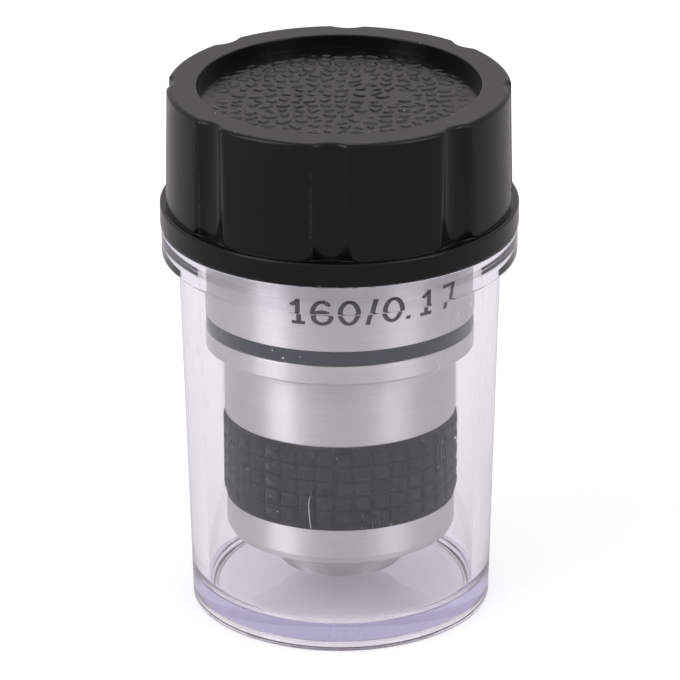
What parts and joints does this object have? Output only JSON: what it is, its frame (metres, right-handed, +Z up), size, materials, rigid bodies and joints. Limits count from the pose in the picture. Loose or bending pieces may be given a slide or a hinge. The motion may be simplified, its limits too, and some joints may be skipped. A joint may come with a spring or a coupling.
{
  "type": "microscope objective in its screw case",
  "caption": "High-power microscope objective with a sprung, retracting nose and a square-padded grip, screwed into the black fluted lid of a clear screw case.",
  "frame": {"origin": "centre of the jar's flat foot, on the surface that the case stands on", "axes": "+Z up along the optical axis, from the objective's tip to its screw thread; +X to the right and -Y towards the engraved side"},
  "size_m": [0.0318, 0.0318, 0.0489],
  "materials": {
    "clear_plastic": "clear moulded polystyrene with a faint violet tint",
    "black_plastic": "black moulded plastic, half gloss, pebble grain in the recess",
    "satin_plate": "turned metal with a satin plate",
    "blue_enamel": "slate blue enamel",
    "grip_black": "matt black, square pads",
    "spring_steel": "bright drawn wire",
    "optical_glass": "polished and coated",
    "black_anodised": "matt black anodised"
  },
  "bodies": {
    "jar": {"case_jar": "clear_plastic"},
    "lid": {"case_lid": "black_plastic"},
    "objective": {"mount_collar": "satin_plate", "identification_band": "blue_enamel", "outer_sleeve": "satin_plate", "grip_ring": "grip_black", "front_ring": "satin_plate", "guide_pin": "spring_steel", "nose_spring": "spring_steel"},
    "nose": {"nose_barrel": "satin_plate", "front_cell": "satin_plate", "front_lens": "optical_glass", "middle_cell": "black_anodised", "middle_crown": "optical_glass", "middle_flint": "optical_glass", "spacer_tube": "black_anodised", "rear_cell": "black_anodised", "rear_crown": "optical_glass", "rear_flint": "optical_glass", "aperture_stop": "black_anodised", "retaining_ring": "black_anodised"}
  },
  "joints": [
    {"name": "lid_lift", "type": "slide", "parent": "jar", "child": "lid", "axis": [0, 0, 1], "range_m": [0, 0.045]},
    {"name": "objective_turn", "type": "hinge", "parent": "lid", "child": "objective", "pos_m": [0, 0, 0.0393], "axis": [0, 0, 1], "continuous": true},
    {"name": "nose_retract", "type": "slide", "parent": "objective", "child": "nose", "axis": [0, 0, 1], "range_m": [0, 0.002], "stiffness_N_per_m": 900, "springref_m": -0.003, "deforming": ["nose_spring"]}
  ]
}
